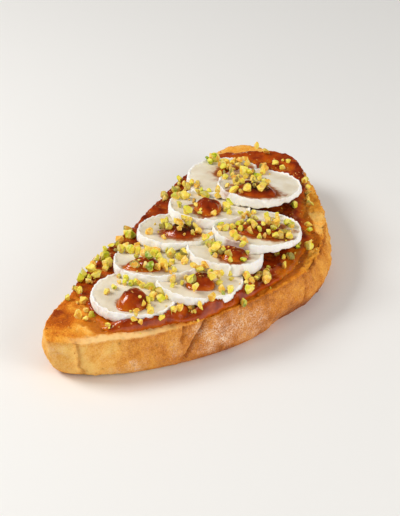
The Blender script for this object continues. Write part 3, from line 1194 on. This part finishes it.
# ---- The nuts -------------------------------------------------------------------------------------------
# Pistachio kernels chopped with a knife into pieces of 3 to 7 mm and crumbs: pale yellow and green flesh
# with flat cuts, and a rest of the thin skin where a piece keeps the kernel's outside.
CHOPPED_SHAPES = 40
NUT_SIZES = (3.0, 7.4)  # mm at the widest
NUT_CRUMBS, NUT_CRUMB_SIZES = 110, (0.8, 2.2)  # mm
LEVEL_FOR_NUTS, LEVEL_FOR_CRUMBS = 0.4, 0.5  # least normal upwards of a place where one can lie
PLACES_TRIED = 12  # for each nut, which takes the one with most room
SEAT = 0.30  # how far a nut's centre is above what it lies on, as a share of its size
APART = 0.33  # how far apart the centres of two nuts that touch are, as a share of both sizes
HEAP_HEIGHT = 4.0 * MM  # nuts that would lie higher up on others are left out
Chunk = namedtuple("Chunk", "points faces greens outside")


def wrap_hull(bm):
    """Makes the mesh the convex hull of its own points."""
    left = [vert.co.copy() for vert in bm.verts]
    bm.clear()
    for place in left:
        bm.verts.new(place)
    bmesh.ops.convex_hull(bm, input=bm.verts[:])
    bmesh.ops.delete(bm, geom=[v for v in bm.verts if not v.link_faces], context="VERTS")


def chopped_shape(shake):
    """A chunk of a kernel, 1 at the widest and cut flat by strokes, as a Chunk: how green each face is,
    and whether it is of the kernel's outside, go with it."""
    bm = bmesh.new()
    bmesh.ops.create_icosphere(bm, subdivisions=2, radius=1.0)
    half_sizes = Vector((1.0, shake.uniform(0.62, 0.95), shake.uniform(0.42, 0.85)))
    elsewhere = Vector([shake.uniform(0, 50) for _ in range(3)])
    for vert in bm.verts:
        bumpy = 1 + 0.35 * noise.noise(vert.co * 1.6 + elsewhere)
        vert.co = Vector([c * half * bumpy for c, half in zip(vert.co, half_sizes)])
    wrap_hull(bm)
    for _ in range(shake.randint(4, 7)):
        stroke = Vector([shake.gauss(0, 1) for _ in range(3)]).normalized()
        where = Vector([s * half for s, half in zip(stroke, half_sizes)]) * shake.uniform(0.34, 0.74)
        cut_up = bm.verts[:] + bm.edges[:] + bm.faces[:]
        bmesh.ops.bisect_plane(bm, geom=cut_up, plane_co=where, plane_no=stroke, clear_outer=True)
        wrap_hull(bm)
    bmesh.ops.dissolve_limit(bm, angle_limit=math.radians(14), verts=bm.verts, edges=bm.edges)
    bmesh.ops.bevel(bm, geom=bm.edges[:], offset=0.055, segments=1, affect="EDGES")
    bm.normal_update()
    bmesh.ops.triangulate(bm, faces=bm.faces)
    long_edges = [edge for edge in bm.edges if edge.calc_length() > 0.5]
    bmesh.ops.subdivide_edges(bm, edges=long_edges, cuts=1)
    bmesh.ops.triangulate(bm, faces=bm.faces)
    bmesh.ops.recalc_face_normals(bm, faces=bm.faces)
    bm.normal_update()
    greens, outside = [], []
    for face in bm.faces:
        middle = face.calc_center_median()
        outside.append(math.hypot(*[c / half for c, half in zip(middle, half_sizes)]) > 0.84)
        greens.append(0.55 * noise.noise(face.normal * 1.5 + elsewhere) + 0.16 * outside[-1])
    for vert in bm.verts:
        vert.co += vert.normal * 0.09 * noise.noise(vert.co * 3.2 + elsewhere)
    points, faces = points_and_faces(bm)
    points -= points.mean(0)
    return Chunk(points / np.ptp(points, 0).max(), faces, np.array(greens), np.array(outside))


def tossed(chunk, size, place, shake):
    """A chunk's points and faces, of this size and at this place, turned anyhow."""
    turn = np.array(Euler([shake.uniform(0, 2 * math.pi) for _ in range(3)]).to_matrix())
    return chunk.points @ turn.T * size + np.array(place), chunk.faces


shake = random.Random(23)
chunks = [chopped_shape(shake) for _ in range(CHOPPED_SHAPES)]

# Where they lie, read off the photograph: the middle of each patch (pixels), its half width and half
# height (pixels), and the number of pieces.
Patch = namedtuple("Patch", "x y half_width half_height count")
NUT_PATCHES = [Patch(*row) for row in [
    # on the far slices and beyond them
    (209, 160, 7, 4, 5), (236, 165, 16, 6, 11), (226, 174, 8, 5, 5), (245, 178, 17, 6, 11),
    (238, 188, 13, 6, 7), (258, 185, 9, 6, 5), (262, 171, 5, 4, 3), (278, 168, 5, 4, 2), (287, 164, 2, 2, 1),
    (257, 150, 1, 2, 1), (266, 152, 2, 1, 1), (226, 166, 6, 3, 4), (238, 164, 6, 3, 3),
    # on slice 7 and at the base side by it
    (184, 185, 7, 5, 5), (194, 186, 5, 4, 3), (179, 195, 8, 5, 6), (204, 194, 7, 3, 4), (194, 204, 4, 4, 2),
    (182, 208, 3, 3, 1), (200, 210, 3, 3, 1), (211, 215, 3, 2, 1), (228, 206, 4, 4, 2), (227, 213, 3, 2, 2),
    (217, 194, 5, 3, 2), (173, 195, 3, 3, 2), (163, 199, 3, 3, 2), (188, 217, 4, 4, 3),
    # on slice 5
    (171, 226, 14, 5, 8), (186, 222, 6, 4, 3), (195, 230, 5, 6, 4), (150, 231, 3, 3, 1), (164, 235, 5, 4, 2),
    # on slice 6
    (249, 217, 11, 4, 6), (270, 219, 8, 5, 5), (243, 226, 12, 6, 7), (262, 231, 12, 7, 7),
    (278, 235, 7, 5, 4),
    (289, 227, 3, 3, 2), (288, 239, 2, 1, 1), (224, 228, 6, 4, 3), (277, 226, 5, 4, 2),
    # on slice 4
    (212, 246, 6, 6, 4), (209, 238, 6, 3, 3), (218, 253, 8, 6, 5), (229, 257, 5, 4, 2), (232, 239, 6, 3, 2),
    (246, 251, 3, 3, 1), (241, 259, 3, 1, 1), (240, 242, 4, 3, 2),
    # on slice 2 and in front of it
    (202, 269, 8, 4, 5), (216, 274, 8, 6, 5), (228, 277, 5, 4, 2), (189, 278, 5, 4, 2), (177, 285, 8, 4, 3),
    (194, 287, 3, 2, 1), (219, 288, 4, 4, 2), (227, 292, 8, 4, 4), (237, 297, 4, 4, 2), (211, 296, 3, 2, 1),
    (247, 285, 5, 7, 5), (256, 277, 5, 4, 3), (263, 281, 4, 4, 2), (266, 271, 4, 3, 2), (243, 303, 1, 1, 1),
    # on slice 3 and at the base side by it
    (134, 250, 9, 5, 5), (149, 253, 12, 6, 7), (141, 262, 7, 5, 3), (150, 269, 7, 4, 4), (164, 262, 10, 8, 6),
    (171, 270, 7, 5, 4), (183, 259, 6, 5, 4), (172, 252, 5, 3, 2), (118, 247, 8, 5, 5), (129, 236, 4, 4, 3),
    (104, 254, 3, 3, 2), (106, 261, 4, 3, 2), (95, 265, 3, 3, 2), (107, 269, 3, 2, 2), (97, 275, 4, 3, 2),
    # round slice 1 and on the near tip
    (87, 278, 8, 5, 5), (78, 288, 4, 3, 2), (81, 298, 5, 6, 4), (69, 298, 2, 2, 1), (84, 315, 7, 5, 4),
    (110, 289, 5, 5, 2), (121, 279, 5, 5, 3), (127, 284, 6, 2, 2), (141, 285, 6, 3, 3), (151, 288, 4, 6, 4),
    (148, 297, 6, 4, 3), (160, 298, 7, 3, 3), (145, 303, 3, 3, 1), (138, 315, 4, 4, 2), (148, 312, 3, 4, 2),
    (137, 322, 4, 4, 2), (111, 327, 2, 2, 1), (144, 328, 1, 1, 1), (160, 316, 2, 2, 1), (131, 327, 2, 2, 1),
    (178, 306, 6, 3, 2), (190, 312, 5, 4, 2), (192, 306, 4, 2, 2), (199, 306, 2, 2, 1), (175, 310, 2, 1, 1),
    # along the domed side's margin
    (281, 256, 5, 3, 2), (289, 258, 4, 2, 2), (283, 265, 3, 3, 1), (297, 245, 2, 3, 2), (307, 246, 3, 3, 2),
    (307, 229, 4, 3, 2), (291, 209, 3, 3, 1), (308, 202, 4, 3, 2), (308, 192, 3, 4, 2), (304, 182, 4, 3, 2),
]]  # fmt: skip


def place_at(pixel, least_level):
    """The place on the toast at a pixel, and its normal, if it is level enough for a nut to lie there."""
    hit, normal, _, _ = toast_surface.ray_cast(camera.location, sight_line(pixel))
    lies = hit is not None and normal.z > least_level and hit.z > BREAD_TOP - 1 * MM
    return (hit, normal) if lies else None


def roomiest_place(patch):
    """Of some places in a patch, the one that is farthest from the nuts that lie already."""
    best, best_room = None, -1.0
    for _ in range(PLACES_TRIED):
        angle, out = shake.uniform(0, 2 * math.pi), math.sqrt(shake.random())
        across, down = patch.half_width * out * math.cos(angle), patch.half_height * out * math.sin(angle)
        found = place_at((patch.x + across, patch.y + down), LEVEL_FOR_NUTS)
        if found:
            room = min([(found[0] - other).length for other, _ in placed], default=1.0)
            if room > best_room:
                best, best_room = found, room
    return best


def heaped_up(centre, size):
    """The centre of a nut, lifted until it lies on the nuts that it would cut into."""
    lifted = centre.copy()
    for _ in range(3):
        for other, other_size in placed:
            apart = APART * (size + other_size) * MM
            flat_distance = math.hypot(lifted.x - other.x, lifted.y - other.y)
            if flat_distance < apart and abs(lifted.z - other.z) < apart:
                lifted.z = max(lifted.z, other.z + math.sqrt(apart**2 - flat_distance**2))
    return lifted


placed = []
for patch in NUT_PATCHES:
    for _ in range(patch.count):
        found = roomiest_place(patch)
        if found:
            size = NUT_SIZES[0] + (NUT_SIZES[1] - NUT_SIZES[0]) * shake.betavariate(2.0, 2.6)
            centre = found[0] + found[1] * (SEAT * size * MM)
            lifted = heaped_up(centre, size)
            if lifted.z < centre.z + HEAP_HEIGHT:
                placed.append((lifted, size))
for _ in range(NUT_CRUMBS):
    patch = shake.choice(NUT_PATCHES)
    found = place_at((patch.x + shake.gauss(0, 7), patch.y + shake.gauss(0, 5)), LEVEL_FOR_CRUMBS)
    if found:
        size = shake.uniform(*NUT_CRUMB_SIZES)
        placed.append((found[0] + found[1] * (SEAT * size * MM), size))

nuts, tones, skins = [], [], []
for centre, size in placed:
    chunk = shake.choice(chunks)
    nuts.append(tossed(chunk, size * MM, centre, shake))
    tone, skinned = min(1, max(0, shake.gauss(0.22, 0.17))), shake.random()
    much_greener = 0.34 * (shake.random() < 0.13)
    tones.append(tone + much_greener + chunk.greens)
    skins.append(chunk.outside * (0.8 if skinned < 0.06 else 0.35 if skinned < 0.35 else 0.0))
mesh = joined("chopped_pistachio", nuts)
add_mask(mesh, "tone", np.concatenate(tones), "FACE")
add_mask(mesh, "skin", np.concatenate(skins), "FACE")

nut_looks, tree, shader = new_material("pistachio")
mottling, bumps = grained(tree, 0.6 * MM, 0.5)
toned = reckon(tree, "ADD", read_mask(tree, "tone"), mottling)
toned = reckon(tree, "ADD", toned, reckon(tree, "MULTIPLY_ADD", spots(tree, 3.0 * MM), 0.3, -0.15))
flesh_steps = [(0, (0.84, 0.40, 0.04)), (0.18, (0.96, 0.62, 0.07)), (0.40, (0.97, 0.79, 0.10))]
flesh_steps += [(0.68, (0.70, 0.68, 0.010)), (1, (0.20, 0.32, 0.004))]
paler = spread_out(tree, spots(tree, 2.4 * MM), 0.46, 0.68, 0.0, 0.6)
flesh = blend_colours(tree, paler, colour_steps(tree, toned, flesh_steps), (0.96, 0.86, 0.36))
skin = blend_colours(tree, spots(tree, 1.5 * MM), (0.26, 0.30, 0.04), (0.24, 0.11, 0.08))
finish_looks(tree, shader, (bumps, 0.5, 0.25 * MM), {
    "Base Color": blend_colours(tree, read_mask(tree, "skin"), flesh, skin),
    "Roughness": 0.48,
    "Specular IOR Level": 0.3,
    "Subsurface Weight": 0.15,
    "Subsurface Scale": 1.0 * MM,
    "Subsurface Radius": (1.0, 0.8, 0.3),
})  # fmt: skip
add_piece("chopped_pistachio", mesh, nut_looks)
mesh.shade_flat()

# ---- The bread crumbs -----------------------------------------------------------------------------------
# Crumbs of the toasted crust that the knife threw up, lying along the cut face's bare margin. They are
# angular chunks like the nuts, and smaller.
BREAD_CRUMBS, BREAD_CRUMB_SIZES = 46, (0.5, 1.3)  # mm
shake = random.Random(91)
crumbs = []
for place, normal in open_places(bread_mesh, BREAD_CRUMBS, shake):
    chunk, size = shake.choice(chunks), shake.uniform(*BREAD_CRUMB_SIZES) * MM
    crumbs.append(tossed(chunk, size, place + normal * 0.25 * size, shake))
mesh = joined("bread_crumbs", crumbs)
crumb_looks, tree, shader = new_material("bread_crumb")
mottling, bumps = grained(tree, 0.5 * MM, 0.6)
crumb_tone = reckon(tree, "ADD", spots(tree, 9 * MM), mottling)
crumb_steps = [(0.3, (0.90, 0.58, 0.22)), (0.5, (0.80, 0.36, 0.06)), (0.7, (0.42, 0.12, 0.02))]
crumb_inputs = {"Base Color": colour_steps(tree, crumb_tone, crumb_steps), "Roughness": 0.75}
finish_looks(tree, shader, (bumps, 0.6, 0.2 * MM), crumb_inputs)
add_piece("bread_crumbs", mesh, crumb_looks)
mesh.shade_flat()

# ---- The floor and the light ----------------------------------------------------------------------------
# A plain pale floor under soft studio light: a bright window high at the back left, which gives the jam
# its highlights, a broad weaker light and a small panel at the front right, and a pale room that hardly
# shows in what is glossy.
FLOOR_HALF = 2.0
DAYLIGHT, WARM_LIGHT = (1.0, 0.985, 0.96), (1.0, 0.98, 0.95)
ROOM_LIGHT, ROOM_IN_GLOSS = 0.44, 0.05
floor_mesh = bpy.data.meshes.new("floor")
corners = [(x * FLOOR_HALF, y * FLOOR_HALF, 0) for x, y in ((-1, -1), (1, -1), (1, 1), (-1, 1))]
floor_mesh.from_pydata(corners, [], [(0, 1, 2, 3)])
floor = bpy.data.objects.new("floor", floor_mesh)
bpy.context.scene.collection.objects.link(floor)
floor_looks, tree, shader = new_material("pale_floor")
connect(tree, shader, [("Base Color", (0.87, 0.86, 0.84, 1)), ("Roughness", 0.55)])
floor_mesh.materials.append(floor_looks)


def add_light(name, direction, distance, width, power, colour, mirrored):
    """A square soft light that shines on the toast from a direction; mirrored ones show in the jam."""
    light = bpy.data.lights.new(name, "AREA")
    light.shape = "SQUARE"
    light.size = width
    light.energy = power
    light.color = colour
    made = bpy.data.objects.new(name, light)
    made.rotation_mode = "QUATERNION"
    away = Vector(direction).normalized()
    made.location = away * distance
    made.rotation_quaternion = (-away).to_track_quat("-Z", "Y")
    made.visible_glossy = mirrored
    bpy.context.scene.collection.objects.link(made)


beyond = Vector((-towards_viewer.x, -towards_viewer.y, 0)).normalized()
window_from = -view_right * 1.2 + beyond * 0.1 + Vector((0, 0, 1.1))
fill_from = view_right * 0.95 - beyond * 0.75 + Vector((0, 0, 0.55))
add_light("window", window_from, distance=1.1, width=0.46, power=8.2, colour=DAYLIGHT, mirrored=True)
add_light("front_fill", fill_from, distance=1.3, width=0.9, power=7.2, colour=WARM_LIGHT, mirrored=False)
add_light("front_panel", fill_from, distance=1.3, width=0.24, power=1.3, colour=WARM_LIGHT, mirrored=True)
world = bpy.data.worlds.new("pale_room")
world.use_nodes = True
tree = world.node_tree
mirrored = add_node(tree, "LightPath").outputs["Is Glossy Ray"]
strength = reckon(tree, "MULTIPLY_ADD", mirrored, ROOM_IN_GLOSS - ROOM_LIGHT, ROOM_LIGHT)
connect(tree, tree.nodes["Background"], [("Color", (1.0, 0.99, 0.975, 1)), ("Strength", strength)])
bpy.context.scene.world = world
bpy.context.scene.view_settings.view_transform = "Standard"
